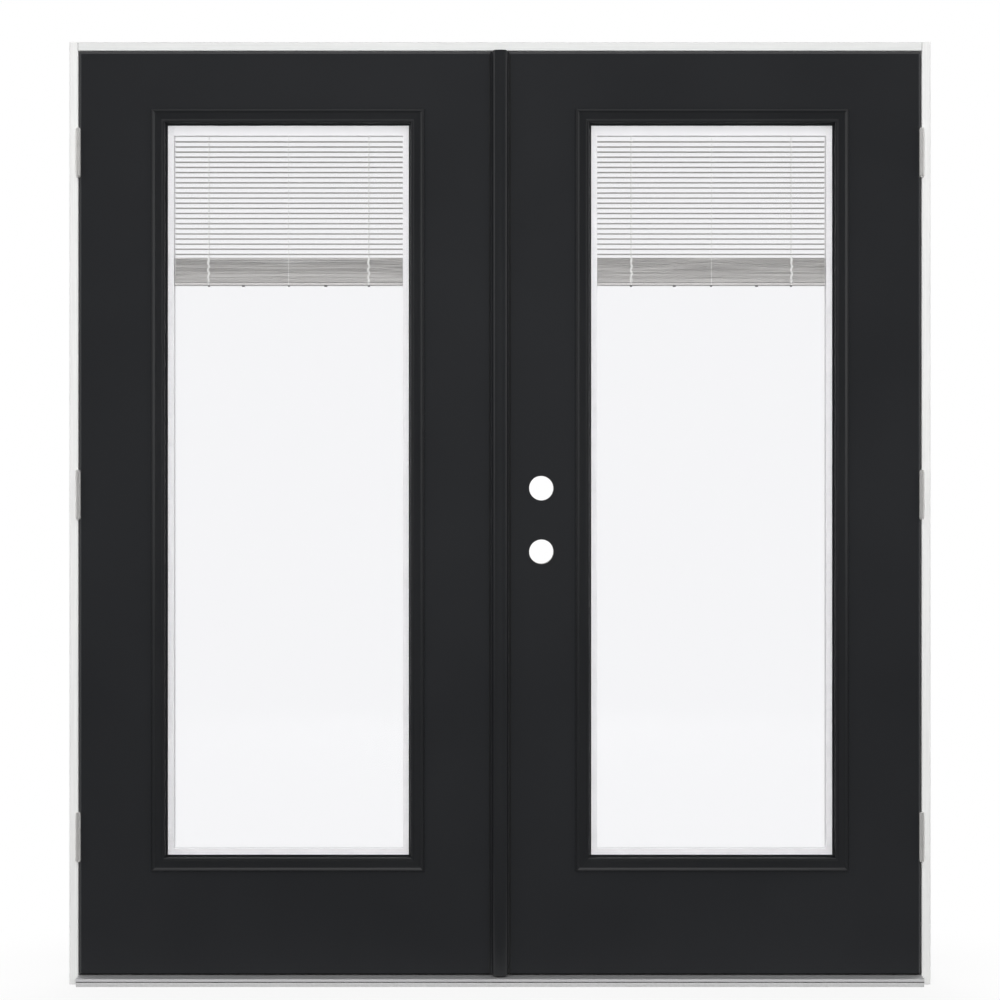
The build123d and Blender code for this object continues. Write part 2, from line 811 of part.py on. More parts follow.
# Astragal: an extrusion on the edge of the passive leaf, with a rounded nose outdoors whose ends
# are rounded off, a channel for the bolts, a notch for its seal and recesses for the lock's bolts
nose_left = -meeting_half + nose_groove
nose_front = leaf_setback - nose_stand
nose_flank = leaf_setback - nose_side
shoulder_y = nose_front + nose_shoulder_fall
notch_front = leaf_setback + seal_inset
notch_back = notch_front + seal_notch_width
with BuildPart() as astragal:
    with BuildSketch(Plane.XY.offset(astragal_bottom)):
        with BuildLine():
            Polyline(
                (astragal_edge, nose_flank),
                (astragal_edge, notch_front),
                (astragal_edge - seal_notch_depth, notch_front),
                (astragal_edge - seal_notch_depth, notch_back),
                (astragal_edge, notch_back),
                (astragal_edge, leaf_back),
                (-meeting_half, leaf_back),
                (-meeting_half, leaf_setback + nose_groove_depth),
                (nose_left, leaf_setback + nose_groove_depth),
                (nose_left, nose_flank),
            )
            rise = nose_flank - shoulder_y
            ThreePointArc(
                (nose_left, nose_flank),
                (nose_left + nose_bend_share * nose_shoulder, shoulder_y + nose_bend_share * rise),
                (nose_left + nose_shoulder, shoulder_y),
            )
            ThreePointArc(
                (nose_left + nose_shoulder, shoulder_y),
                ((nose_left + astragal_edge) / 2, nose_front),
                (astragal_edge - nose_shoulder, shoulder_y),
            )
            ThreePointArc(
                (astragal_edge - nose_shoulder, shoulder_y),
                (astragal_edge - nose_bend_share * nose_shoulder, shoulder_y + nose_bend_share * rise),
                (astragal_edge, nose_flank),
            )
        make_face()
        with Locations((bolt_centre, leaf_mid)):
            Rectangle(bolt_channel, bolt_channel, mode=Mode.SUBTRACT)
    extrude(amount=astragal_top - astragal_bottom)
    for z in lock_heights:
        block(
            (astragal_edge - strike_depth, leaf_mid - strike_width / 2, z - strike_height / 2),
            (astragal_edge, leaf_mid + strike_width / 2, z + strike_height / 2),
            mode=Mode.SUBTRACT,
        )
    for end, inward, radius in ((astragal_bottom, 1, foot_round), (astragal_top, -1, top_round)):
        for corner, side in ((nose_left, 1), (astragal_edge, -1)):
            with BuildSketch(Plane.XZ.offset(nose_stand + overrun)):
                with BuildLine():
                    flat_end = (corner + side * radius, end)
                    flank_end = (corner, end + inward * radius)
                    bend = corner_share * radius
                    ThreePointArc(flat_end, (corner + side * bend, end + inward * bend), flank_end)
                    Polyline(
                        flank_end,
                        (corner - side * overrun, flank_end[1]),
                        (corner - side * overrun, end - inward * overrun),
                        (flat_end[0], end - inward * overrun),
                        flat_end,
                    )
                make_face()
            extrude(amount=-nose_stand - overrun - leaf_setback, mode=Mode.SUBTRACT)
    half_slot = tab_width / 2 + bolt_run_gap
    upper_tab = astragal_top - bolt_sink - bolt_length + tab_rise
    lower_tab = astragal_bottom + bolt_sink + bolt_length - tab_rise
    for low, high in (
        (upper_tab - bolt_run_gap, upper_tab + tab_height + bolt_throw + bolt_run_gap),
        (lower_tab - tab_height - bolt_throw - bolt_run_gap, lower_tab + bolt_run_gap),
    ):
        block(
            (bolt_centre, leaf_mid - half_slot, low),
            (astragal_edge, leaf_mid + half_slot, high),
            mode=Mode.SUBTRACT,
        )
save("astragal", astragal.part)

# Astragal seal: its root in the notch, its bulb towards the active leaf
with BuildPart() as astragal_seal:
    with BuildSketch(Plane.XY.offset(astragal_bottom)):
        with BuildLine():
            Polyline(
                (astragal_edge, notch_back),
                (astragal_edge - seal_notch_depth, notch_back),
                (astragal_edge - seal_notch_depth, notch_front),
                (astragal_edge, notch_front),
            )
            ThreePointArc(
                (astragal_edge, notch_front),
                (astragal_edge + seal_stand, (notch_front + notch_back) / 2),
                (astragal_edge, notch_back),
            )
        make_face()
    extrude(amount=astragal_top - astragal_bottom)
save("astragal_seal", astragal_seal.part)


def flush_bolt(end, inward, tab_low):
    """A round bolt in the astragal's channel, with the thumb tab that slides it."""
    with BuildPart() as bolt:
        with BuildSketch(Plane.XY.offset(end)):
            with Locations((bolt_centre, leaf_mid)):
                Circle(bolt_radius)
        extrude(amount=inward * bolt_length)
        block(
            (bolt_centre, leaf_mid - tab_width / 2, tab_low),
            (astragal_edge - tab_inset, leaf_mid + tab_width / 2, tab_low + tab_height),
        )
    return bolt.part


save("upper_flush_bolt", flush_bolt(astragal_top - bolt_sink, -1, upper_tab))
save("lower_flush_bolt", flush_bolt(astragal_bottom + bolt_sink, 1, lower_tab - tab_height))
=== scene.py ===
# %% [markdown]
# # French doors with blinds between the panes
# A prehung pair of outswing doors: a white frame on an aluminium threshold, two black leaves, and a blind
# sealed in the glazing of each leaf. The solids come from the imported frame, in metres, with X along the wall,
# Y from outdoors to indoors and Z up. This script gives every surface its finish, adds what is too fine for
# the solids, such as the gathered slats, ladder cords and screws, and sets up a plain studio.

import math
import random

import bmesh
import bpy
from mathutils import Matrix, Vector


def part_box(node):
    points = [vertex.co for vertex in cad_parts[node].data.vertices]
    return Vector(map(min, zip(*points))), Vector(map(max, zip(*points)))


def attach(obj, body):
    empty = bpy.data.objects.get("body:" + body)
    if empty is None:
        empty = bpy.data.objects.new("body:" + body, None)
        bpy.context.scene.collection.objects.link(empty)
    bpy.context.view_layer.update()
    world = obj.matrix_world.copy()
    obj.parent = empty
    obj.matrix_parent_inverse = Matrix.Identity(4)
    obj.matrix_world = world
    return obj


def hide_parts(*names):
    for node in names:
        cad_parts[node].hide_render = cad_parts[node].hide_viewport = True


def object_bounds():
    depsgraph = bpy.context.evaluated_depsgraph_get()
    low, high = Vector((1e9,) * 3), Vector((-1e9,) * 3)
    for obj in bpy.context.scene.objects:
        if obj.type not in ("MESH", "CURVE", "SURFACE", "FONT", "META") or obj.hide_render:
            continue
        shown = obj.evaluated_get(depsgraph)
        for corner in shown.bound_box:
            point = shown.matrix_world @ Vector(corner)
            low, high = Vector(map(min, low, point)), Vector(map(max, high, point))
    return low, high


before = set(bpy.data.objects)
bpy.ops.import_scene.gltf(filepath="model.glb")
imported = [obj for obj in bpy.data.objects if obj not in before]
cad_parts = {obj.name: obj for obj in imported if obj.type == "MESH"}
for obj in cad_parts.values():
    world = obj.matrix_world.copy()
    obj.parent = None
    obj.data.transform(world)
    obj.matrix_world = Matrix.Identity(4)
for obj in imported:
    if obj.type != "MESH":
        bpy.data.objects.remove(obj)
cad_box = [list(corner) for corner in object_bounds()]
MM = 0.001
SIDES = ("left", "right")

# %% [markdown]
# ## Camera
# The photograph looks straight at the doors from outdoors. Its centre falls on mid width, a little above mid
# height, and the deck of the threshold shows about as much of its depth as it would from a good four metres
# away. A square picture from there needs a short telephoto lens. No shift is needed.

# %% Place the camera
eye_height = 1.061
eye_distance = 4.3
view_width = 2.19
sensor_width = 36.0

camera_data = bpy.data.cameras.new("front_camera")
camera_data.sensor_width = sensor_width
camera_data.lens = sensor_width * eye_distance / view_width
camera = bpy.data.objects.new("front_camera", camera_data)
camera.location = (0, -eye_distance, eye_height)
camera.rotation_euler = (math.radians(90), 0, 0)
bpy.context.scene.collection.objects.link(camera)
bpy.context.scene.camera = camera
print(f"lens {camera_data.lens:.1f} mm at {eye_distance} m")

# %% [markdown]
# ## Small helpers
# Colours are written as sRGB hex values, as a paint chart gives them, and one function turns them into the
# linear values that shaders work in. One more function adds a shader node with its settings and links, so a
# material reads as a short list. Pattern sizes are given in millimetres.


# %% Colour, node and size helpers
def srgb(hex_text):
    """A colour like #2a2b2d as linear red, green, blue and alpha."""
    channels = [int(hex_text[i : i + 2], 16) / 255 for i in (1, 3, 5)]
    linear = [c / 12.92 if c <= 0.04045 else ((c + 0.055) / 1.055) ** 2.4 for c in channels]
    return (*linear, 1.0)


def add(owner, kind, inputs=None, stops=(), **settings):
    """Add a shader node: settings are its properties, inputs its sockets as values or links."""
    tree = owner.node_tree
    node = tree.nodes.new(kind)
    for name, value in settings.items():
        setattr(node, name, value)
    for name, value in (inputs or {}).items():
        if isinstance(value, bpy.types.NodeSocket):
            tree.links.new(value, node.inputs[name])
        else:
            node.inputs[name].default_value = value
    for element, (place, colour) in zip(node.color_ramp.elements if stops else (), stops):
        element.position = place
        element.color = srgb(colour)
    return node


def empty_material(name):
    """A material with an empty node tree."""
    material = bpy.data.materials.new(name)
    material.use_nodes = True
    material.node_tree.nodes.clear()
    return material


def show(material, shader):
    """Send a shader to the material's surface."""
    add(material, "ShaderNodeOutputMaterial", {"Surface": shader.outputs[0]})
    return material


def per_metre(size_mm):
    """How often a pattern of this size repeats in a metre, which is what texture nodes want."""
    return 1 / (size_mm * MM)


def dress(material, *names):
    """Give CAD nodes this material."""
    for name in names:
        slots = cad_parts[name].data.materials
        slots.clear()
        slots.append(material)
    print(f"{material.name}: {', '.join(names)}")


def both(*names):
    """The left and the right node of each name."""
    return [f"{side}_{name}" for name in names for side in SIDES]


# %% [markdown]
# ## Studio
# A product picture like this one is lit softly from above and from both sides, and the room is dark in front
# and behind, so that black paint stays black instead of mirroring white walls. The world does both: it is
# plain white to the eye and through glass, it is white for mirror rays that leave sideways, up or down, and
# dim for those that leave along Y, which is where the flat faces of the leaves look. The light that falls on
# the doors from the world is one even grey.

# %% World
ambient = 0.40
mirror_sides = 0.9
mirror_along_y = 0.12
# how much of a mirror ray's direction lies along Y: up to the first it counts as sideways, from the second
# as square to the leaves
sideways = 0.25
square_on = 0.65
scene = bpy.context.scene
scene.view_settings.view_transform = "Standard"
world = bpy.data.worlds.new("studio")
scene.world = world
world.use_nodes = True
world.node_tree.nodes.clear()
heading = add(world, "ShaderNodeTexCoord").outputs["Generated"]
along_y = add(world, "ShaderNodeSeparateXYZ", {0: heading}).outputs["Y"]
squarely = add(world, "ShaderNodeMath", {0: along_y}, operation="ABSOLUTE")
mirrored = add(
    world,
    "ShaderNodeMapRange",
    {
        "Value": squarely.outputs[0],
        "From Min": sideways,
        "From Max": square_on,
        "To Min": mirror_sides,
        "To Max": mirror_along_y,
    },
    interpolation_type="SMOOTHSTEP",
)
rays = add(world, "ShaderNodeLightPath")
seen = add(
    world,
    "ShaderNodeMath",
    {0: rays.outputs["Is Camera Ray"], 1: rays.outputs["Is Transmission Ray"]},
    operation="MAXIMUM",
)
bounced = add(
    world,
    "ShaderNodeMapRange",
    {"Value": rays.outputs["Is Glossy Ray"], "To Min": ambient, "To Max": mirrored.outputs[0]},
)
strength = add(
    world,
    "ShaderNodeMapRange",
    {"Value": seen.outputs[0], "To Min": bounced.outputs[0], "To Max": 1.0},
)
sky = add(world, "ShaderNodeBackground", {"Color": srgb("#ffffff"), "Strength": strength.outputs[0]})
add(world, "ShaderNodeOutputWorld", {"Surface": sky.outputs[0]})
print("world: white to the eye,", ambient, "as light")

# %% [markdown]
# ## Floor
# The floor is a pale sheet of paper. Close to the threshold it keeps the shadow of the doors, and further off
# it fades into the white of the background, by the distance from the box that the doors stand on. Paper that
# bright would light every underside from below, so it throws back less light than it shows to the eye. Metal
# mirrors white paper near the threshold and a dark studio floor beyond it.

# %% Paper floor
floor_size = 40.0
floor_drop = 0.5 * MM
fade_near = 0.86
paper_bounce = 0.22
paper_white = 0.92
fade_reach = 0.5
mirror_near = 0.05
mirror_reach = 0.3
# seamless paper: an even matt white that takes a soft shadow
paper = empty_material("seamless_paper")
spot = add(paper, "ShaderNodeTexCoord").outputs["Object"]
middle = [(low + high) / 2 for low, high in zip(*cad_box)]
reach = [(high - low) / 2 for low, high in zip(*cad_box)]
from_middle = add(
    paper,
    "ShaderNodeVectorMath",
    {0: spot, 1: (middle[0], middle[1], 0)},
    operation="SUBTRACT",
)
folded = add(paper, "ShaderNodeVectorMath", {0: from_middle.outputs[0]}, operation="ABSOLUTE")
past_edge = add(
    paper,
    "ShaderNodeVectorMath",
    {0: folded.outputs[0], 1: (reach[0], reach[1], 0)},
    operation="SUBTRACT",
)
outside = add(
    paper,
    "ShaderNodeVectorMath",
    {0: past_edge.outputs[0], 1: (0, 0, 0)},
    operation="MAXIMUM",
)
distance = add(paper, "ShaderNodeVectorMath", {0: outside.outputs[0]}, operation="LENGTH")
fading = add(
    paper,
    "ShaderNodeMapRange",
    {"Value": distance.outputs["Value"], "From Max": fade_reach, "To Min": fade_near},
    interpolation_type="SMOOTHSTEP",
)
rays = add(paper, "ShaderNodeLightPath")
seen = add(
    paper,
    "ShaderNodeMath",
    {0: rays.outputs["Is Camera Ray"], 1: rays.outputs["Is Transmission Ray"]},
    operation="MAXIMUM",
)
near_doors = add(
    paper,
    "ShaderNodeMapRange",
    {
        "Value": distance.outputs["Value"],
        "From Min": mirror_near,
        "From Max": mirror_reach,
        "To Min": 1.0,
        "To Max": 0.0,
    },
    interpolation_type="SMOOTHSTEP",
)
mirrored = add(
    paper,
    "ShaderNodeMath",
    {0: rays.outputs["Is Glossy Ray"], 1: near_doors.outputs[0]},
    operation="MULTIPLY",
)
looked_at = add(
    paper,
    "ShaderNodeMath",
    {0: seen.outputs[0], 1: mirrored.outputs[0]},
    operation="MAXIMUM",
)
fade = add(
    paper,
    "ShaderNodeMath",
    {0: fading.outputs[0], 1: looked_at.outputs[0]},
    operation="MULTIPLY",
)
tone = add(
    paper,
    "ShaderNodeMapRange",
    {"Value": looked_at.outputs[0], "To Min": paper_bounce, "To Max": paper_white},
)
sheet = add(paper, "ShaderNodeBsdfDiffuse", {"Color": tone.outputs[0]})
glow = add(paper, "ShaderNodeEmission", {"Color": srgb("#ffffff"), "Strength": 1.0})
blend = add(
    paper,
    "ShaderNodeMixShader",
    {0: fade.outputs[0], 1: sheet.outputs[0], 2: glow.outputs[0]},
)
show(paper, blend)
bpy.ops.mesh.primitive_plane_add(size=floor_size, location=(0, 0, -floor_drop))
floor = bpy.context.object
floor.name = "studio_floor"
floor.data.materials.append(paper)
print(f"floor fades to white within {fade_reach} m")

# %% [markdown]
# ## Lamps
# Doors are photographed under large softboxes: one overhead and one at each side, which draw a soft line of
# light along every ridge, and a broad fill beside the camera for the white frame. The indoor side has its own
# pair. Rectangular area lamps do this. The eye and the glass don't see them, and the fills don't show in
# reflections either, so that the black faces stay black.

# %% Lamps
# name, place, what it points at, width and height in metres, power in watts
lamps = (
    ("overhead_softbox", (0.0, -2.6, 4.3), (0.0, 0.0, 1.1), (3.6, 1.6), 34.0),
    ("left_softbox", (-4.2, -2.6, 2.0), (0.0, 0.0, 1.0), (1.4, 2.6), 24.0),
    ("right_softbox", (4.2, -2.6, 2.0), (0.0, 0.0, 1.0), (1.4, 2.6), 24.0),
    ("front_fill", (0.0, -5.4, 1.5), (0.0, 0.0, 0.7), (2.6, 1.2), 176.0),
    ("indoor_softbox", (0.0, 2.6, 4.3), (0.0, 0.0, 1.1), (3.6, 1.6), 40.0),
    ("indoor_fill", (0.0, 5.4, 1.5), (0.0, 0.0, 0.7), (2.6, 1.2), 150.0),
)
for name, place, target, size, power in lamps:
    lamp_data = bpy.data.lights.new(name, "AREA")
    lamp_data.shape = "RECTANGLE"
    lamp_data.size, lamp_data.size_y = size
    lamp_data.energy = power
    lamp = bpy.data.objects.new(name, lamp_data)
    lamp.location = place
    lamp.rotation_euler = (Vector(target) - Vector(place)).to_track_quat("-Z", "Y").to_euler()
    lamp.visible_camera = False
    lamp.visible_transmission = False
    lamp.visible_glossy = not name.endswith("fill")
    scene.collection.objects.link(lamp)
print(len(lamps), "lamps")

# %% [markdown]
# ## Black enamel on the leaves
# The faces of the leaves are steel sheets with a baked satin enamel in soft black. Sprayed enamel is never
# quite flat: it dries with a fine orange peel that breaks up reflections, and its gloss drifts a little over
# a large sheet. An image of such a surface would do, but two noise textures need none: a fine one drives the
# bump, and a much larger one drives tone and gloss.

# %% Enamel
peel_depth = 0.4 * MM
peel_strength = 0.12
drift_mm = 420


def satin_enamel(name, dark, light, peel_mm, rough_low, rough_high, specular):
    """Sprayed and baked paint: nearly flat, with orange peel and a slow drift in tone and gloss."""
    paint = empty_material(name)
    place = add(paint, "ShaderNodeTexCoord").outputs["Object"]
    # real orange peel is 1 to 2 mm wide; it is drawn coarser so that it shows at this distance
    peel = add(
        paint,
        "ShaderNodeTexNoise",
        {"Vector": place, "Scale": per_metre(peel_mm), "Detail": 2.0},
    )
    drift = add(
        paint,
        "ShaderNodeTexNoise",
        {"Vector": place, "Scale": per_metre(drift_mm), "Detail": 3.0},
    )
    tone = add(
        paint,
        "ShaderNodeValToRGB",
        {"Fac": drift.outputs["Fac"]},
        stops=((0.35, dark), (0.65, light)),
    )
    sheen = add(
        paint,
        "ShaderNodeMapRange",
        {"Value": drift.outputs["Fac"], "To Min": rough_low, "To Max": rough_high},
    )
    skin = add(
        paint,
        "ShaderNodeBump",
        {"Height": peel.outputs["Fac"], "Strength": peel_strength, "Distance": peel_depth},
    )
    shader = add(
        paint,
        "ShaderNodeBsdfPrincipled",
        {
            "Base Color": tone.outputs["Color"],
            "Roughness": sheen.outputs[0],
            "Specular IOR Level": specular,
            "Normal": skin.outputs["Normal"],
        },
    )
    return show(paint, shader)


# satin black enamel on steel: an even, soft black that hardly mirrors anything
leaf_enamel = satin_enamel(
    "satin_black_enamel_on_steel", "#222325", "#252628", 3.5, 0.42, 0.52, 0.12
)
dress(leaf_enamel, *both("outdoor_skin", "indoor_skin"))

# %% [markdown]
# ## Mouldings and astragal
# The frames round the glass are moulded in black plastic, coloured to match the enamel. A mould gives a
# finer, more even grain than a spray gun and sharper highlights along the ridge and the bead. The astragal
# between the leaves is an extrusion with a powder coat, whose peel is a touch coarser. Both are the same kind
# of surface as the enamel, so the same function makes them.

# %% Mouldings and astragal
# moulded black plastic: black with a tighter gloss, which shows each ridge as a thin grey line
moulding_plastic = satin_enamel(
    "moulded_black_plastic", "#1a1b1d", "#1d1e20", 2.0, 0.26, 0.33, 0.32
)
dress(moulding_plastic, *both("outdoor_lite_frame", "indoor_lite_frame"))
# powder coat on aluminium: the same black, with soft lights on both shoulders of the astragal
powder_coat = satin_enamel("black_powder_coat", "#1d1e20", "#202123", 2.6, 0.26, 0.33, 0.3)
dress(powder_coat, "astragal")

# %% [markdown]
# ## Edge timber, core and lock block
# The edges of a leaf are timber stiles and rails with a coat of dark paint, bare of the steel skins. Their tone
# is painted light: grey at the hinges, a painted highlight that shows as a thin line, and black elsewhere,
# painted shade for the dark of the joints. Wood grain shows through a thin coat, so the bump is a noise that is
# stretched along the grain. Inside lie a primed block round the lock holes and a foam core, which shows only
# where the leaf is cut.

# %% Painted timber
# the growth rings of pine lie 1 to 4 mm apart and run on for many centimetres
grain_mm = 3.0
grain_run_mm = 160.0
grain_depth = 0.5 * MM


def painted_timber(name, dark, light, grain_axis, roughness, relief):
    """Paint on planed wood: the grain runs along one axis and shows as faint ridges."""
    wood = empty_material(name)
    place = add(wood, "ShaderNodeTexCoord").outputs["Object"]
    scale = [per_metre(grain_run_mm if axis == grain_axis else grain_mm) for axis in "XYZ"]
    along = add(wood, "ShaderNodeMapping", {"Vector": place, "Scale": scale})
    grain = add(
        wood,
        "ShaderNodeTexNoise",
        {"Vector": along.outputs[0], "Scale": 1.0, "Detail": 3.0},
    )
    tone = add(
        wood,
        "ShaderNodeValToRGB",
        {"Fac": grain.outputs["Fac"]},
        stops=((0.3, dark), (0.7, light)),
    )
    ridge = add(
        wood,
        "ShaderNodeBump",
        {"Height": grain.outputs["Fac"], "Strength": relief, "Distance": grain_depth},
    )
    shader = add(
        wood,
        "ShaderNodeBsdfPrincipled",
        {
            "Base Color": tone.outputs["Color"],
            "Roughness": roughness,
            "Normal": ridge.outputs["Normal"],
        },
    )
    return show(wood, shader)


# dark paint on the hinge edges, drawn grey as a painted highlight: a thin line between leaf and jamb, a little
# lighter than both shadows
hinge_edge_painted_highlight = painted_timber("dark_paint_with_painted_highlight_on_upright_pine", "#343436", "#3b3b3d", "Z", 0.6, 0.2)
# dark paint on rails and lock edges, drawn black as painted shade: it sinks into the dark of the joints
rail_edge_painted_shade = painted_timber("dark_paint_with_painted_shade_on_level_pine", "#161718", "#1b1c1d", "X", 0.6, 0.2)
lock_edge_painted_shade = painted_timber("dark_paint_with_painted_shade_on_upright_pine", "#131415", "#18191a", "Z", 0.6, 0.2)
# primed poplar: chalky grey, seen only inside the lock holes
bare_block = painted_timber("primed_poplar", "#8d8a84", "#a19e97", "Z", 0.7, 0.3)
dress(hinge_edge_painted_highlight, *both("hinge_stile"))
dress(lock_edge_painted_shade, *both("lock_stile"))
dress(rail_edge_painted_shade, *both("top_rail", "bottom_rail"))
dress(bare_block, "right_lock_block")

# %% Foam
# polyurethane foam, cut: dull yellow and full of pores. Real cells are about 0.3 mm wide; they are drawn
# coarser so that they show.
cell_mm = 1.2
pore_depth = 0.4 * MM
pore_strength = 0.5
foam = empty_material("cut_polyurethane_foam")
place = add(foam, "ShaderNodeTexCoord").outputs["Object"]
cells = add(foam, "ShaderNodeTexVoronoi", {"Vector": place, "Scale": per_metre(cell_mm)})
tone = add(
    foam,
    "ShaderNodeValToRGB",
    {"Fac": cells.outputs["Distance"]},
    stops=((0.1, "#b99f62"), (0.7, "#dcc68c")),
)
pores = add(
    foam,
    "ShaderNodeBump",
    {"Height": cells.outputs["Distance"], "Strength": pore_strength, "Distance": pore_depth},
)
show(
    foam,
    add(
        foam,
        "ShaderNodeBsdfPrincipled",
        {"Base Color": tone.outputs["Color"], "Roughness": 0.9, "Normal": pores.outputs["Normal"]},
    ),
)
dress(foam, *both("core"))

# %% [markdown]
# ## White frame
# Jambs and head are primed pine with a white exterior paint, brushed or sprayed along the boards. From across
# the room they read as plain white; close up the grain gives them a faint streak. The same wood function does
# it, in white, with the grain along each board.

# %% Frame paint
# white exterior paint on pine: bright and satin, with a streak of grain that only shows close up
upright_white = painted_timber("white_paint_on_upright_pine", "#e2e2e1", "#ebebea", "Z", 0.5, 0.12)
level_white = painted_timber("white_paint_on_level_pine", "#d9dad9", "#e1e2e1", "X", 0.5, 0.12)
dress(upright_white, *both("jamb"))
dress(level_white, "head_jamb")

# %% [markdown]
# ## Metal
# The tread of the threshold is an aluminium extrusion in mill finish, with fine drawing lines along its
# length. Hinges and flush bolts are steel with a satin nickel plating, brushed along the barrel. Both are
# full metals: nearly all their colour is a reflection. Modelled lines would cost millions of faces, so the
# brushing is a stretched noise in roughness and bump.

# %% Metals
line_run_mm = 220.0
line_depth = 0.2 * MM
line_strength = 0.15


def drawn_strip(name, dark, light, line_axis, line_mm, rough_low, rough_high, metallic=1.0):
    """Metal with fine lines along one axis, as drawing or brushing leaves them; a coat makes metallic 0."""
    metal = empty_material(name)
    place = add(metal, "ShaderNodeTexCoord").outputs["Object"]
    # real drawing lines are about 0.1 mm wide; they are drawn coarser so that they show
    scale = [per_metre(line_run_mm if axis == line_axis else line_mm) for axis in "XYZ"]
    along = add(metal, "ShaderNodeMapping", {"Vector": place, "Scale": scale})
    lines = add(
        metal,
        "ShaderNodeTexNoise",
        {"Vector": along.outputs[0], "Scale": 1.0, "Detail": 4.0},
    )
    tone = add(
        metal,
        "ShaderNodeValToRGB",
        {"Fac": lines.outputs["Fac"]},
        stops=((0.3, dark), (0.7, light)),
    )
    gloss = add(
        metal,
        "ShaderNodeMapRange",
        {"Value": lines.outputs["Fac"], "To Min": rough_low, "To Max": rough_high},
    )
    relief = add(
        metal,
        "ShaderNodeBump",
        {"Height": lines.outputs["Fac"], "Strength": line_strength, "Distance": line_depth},
    )
    shader = add(
        metal,
        "ShaderNodeBsdfPrincipled",
        {
            "Base Color": tone.outputs["Color"],
            "Metallic": metallic,
            "Roughness": gloss.outputs[0],
            "Normal": relief.outputs["Normal"],
        },
    )
    return show(metal, shader)


# mill-finish aluminium: dull grey, light where it mirrors the paper and dark where it mirrors the leaf
mill_aluminium = drawn_strip("mill_finish_aluminium", "#dcdcdd", "#e9e9ea", "X", 1.2, 0.55, 0.7)
# satin nickel: warm, pale and blurred, with a soft light along the barrel
satin_nickel = drawn_strip("satin_nickel_plate", "#f0efed", "#f8f7f5", "Z", 0.8, 0.6, 0.72)
dress(mill_aluminium, "threshold_tread")
dress(satin_nickel, *both("hinge_frame_leaves", "hinge_door_leaves", "hinge_pins"))
dress(satin_nickel, "upper_flush_bolt", "lower_flush_bolt")

# %% [markdown]
# ## Sill base, seals and sweeps
# Under the tread lies a base of extruded composite in pale grey. The seals are soft: white foam in a film
# skin round the frame, a black bulb on the threshold and on the astragal, and black fins under the leaves.
# What comes out of a die or a mould has the same fine grain in all directions, so one noise without stretch
# gives it tone and bump. On rubber it is the dusty bloom.

# %% Composite and rubber
bloom_depth = 0.3 * MM


def even_skin(name, dark, light, bloom_mm, roughness, relief):
    """A pressed, moulded or braided surface: one even, fine grain in tone and bump."""
    soft = empty_material(name)
    place = add(soft, "ShaderNodeTexCoord").outputs["Object"]
    # real bloom is finer than 0.1 mm; it is drawn coarser so that it shows
    bloom = add(
        soft,
        "ShaderNodeTexNoise",
        {"Vector": place, "Scale": per_metre(bloom_mm), "Detail": 4.0},
    )
    tone = add(
        soft,
        "ShaderNodeValToRGB",
        {"Fac": bloom.outputs["Fac"]},
        stops=((0.3, dark), (0.7, light)),
    )
    grit = add(
        soft,
        "ShaderNodeBump",
        {"Height": bloom.outputs["Fac"], "Strength": relief, "Distance": bloom_depth},
    )
    shader = add(
        soft,
        "ShaderNodeBsdfPrincipled",
        {
            "Base Color": tone.outputs["Color"],
            "Roughness": roughness,
            "Normal": grit.outputs["Normal"],
        },
    )
    return show(soft, shader)


# extruded wood composite: plain, light grey and matt
sill_composite = even_skin("grey_sill_composite", "#c0c0c0", "#cacaca", 6.0, 0.55, 0.15)
# foam in a film skin: off-white with a soft sheen
foam_seal = even_skin("white_foam_seal", "#dcdbd6", "#e6e5e0", 3.0, 0.6, 0.2)
# seal rubber: nearly black and without any clear reflection
black_rubber = even_skin("black_seal_rubber", "#161616", "#1e1e1e", 2.0, 0.7, 0.2)
dress(sill_composite, "threshold_base")
dress(foam_seal, "head_weatherstrip", *both("weatherstrip"))
dress(black_rubber, "bumper_seal", "astragal_seal", *both("door_sweep"))

# %% [markdown]
# ## Glass
# Two sheets of clear tempered glass close each lite, with the blind in the dry space between them. Real glass
# bends and mirrors a little of everything. For lamp light and light scattered by the blind the shader gives
# way to plain transparency, so that the blind inside is lit without the noise of caustics.

# %% Clear glass
# tempered float glass: clear, with a breath of grey and faint reflections
glass_ior = 1.5
clear_glass = empty_material("clear_tempered_glass")
rays = add(clear_glass, "ShaderNodeLightPath")
passing = add(
    clear_glass,
    "ShaderNodeMath",
    {0: rays.outputs["Is Shadow Ray"], 1: rays.outputs["Is Diffuse Ray"]},
    operation="MAXIMUM",
)
solid_glass = add(
    clear_glass,
    "ShaderNodeBsdfPrincipled",
    {
        "Base Color": srgb("#fcfcfd"),
        "Roughness": 0.0,
        "IOR": glass_ior,
        "Transmission Weight": 1.0,
    },
)
open_air = add(clear_glass, "ShaderNodeBsdfTransparent", {"Color": srgb("#fdfdfd")})
show(
    clear_glass,
    add(
        clear_glass,
        "ShaderNodeMixShader",
        {0: passing.outputs[0], 1: solid_glass.outputs[0], 2: open_air.outputs[0]},
    ),
)
dress(clear_glass, *both("outdoor_pane", "indoor_pane"))

# %% [markdown]
# ## Blind
# Cassette, head rail and slats are thin aluminium, coil-coated in white before they are rolled to shape. The
# coat is smooth and even, with a very fine grain along the strip, so the function for drawn metal makes it,
# with the metal hidden by the coat. The plastic sliders on the indoor moulding are glossy white.

# %% Coil coat and slider plastic
# white coil coat, bright on the cassette; on the slats it is drawn greyer, as painted shade for their shaded
# undersides
cassette_coat = drawn_strip(
    "white_coil_coat_on_cassette", "#f4f3f5", "#f9f8fa", "X", 2.0, 0.4, 0.5, metallic=0.0
)
slat_coat_painted_shade = drawn_strip(
    "white_coil_coat_greyed_as_painted_shade_on_slats", "#c6c4c2", "#ceccca", "X", 1.5, 0.38, 0.48, metallic=0.0
)
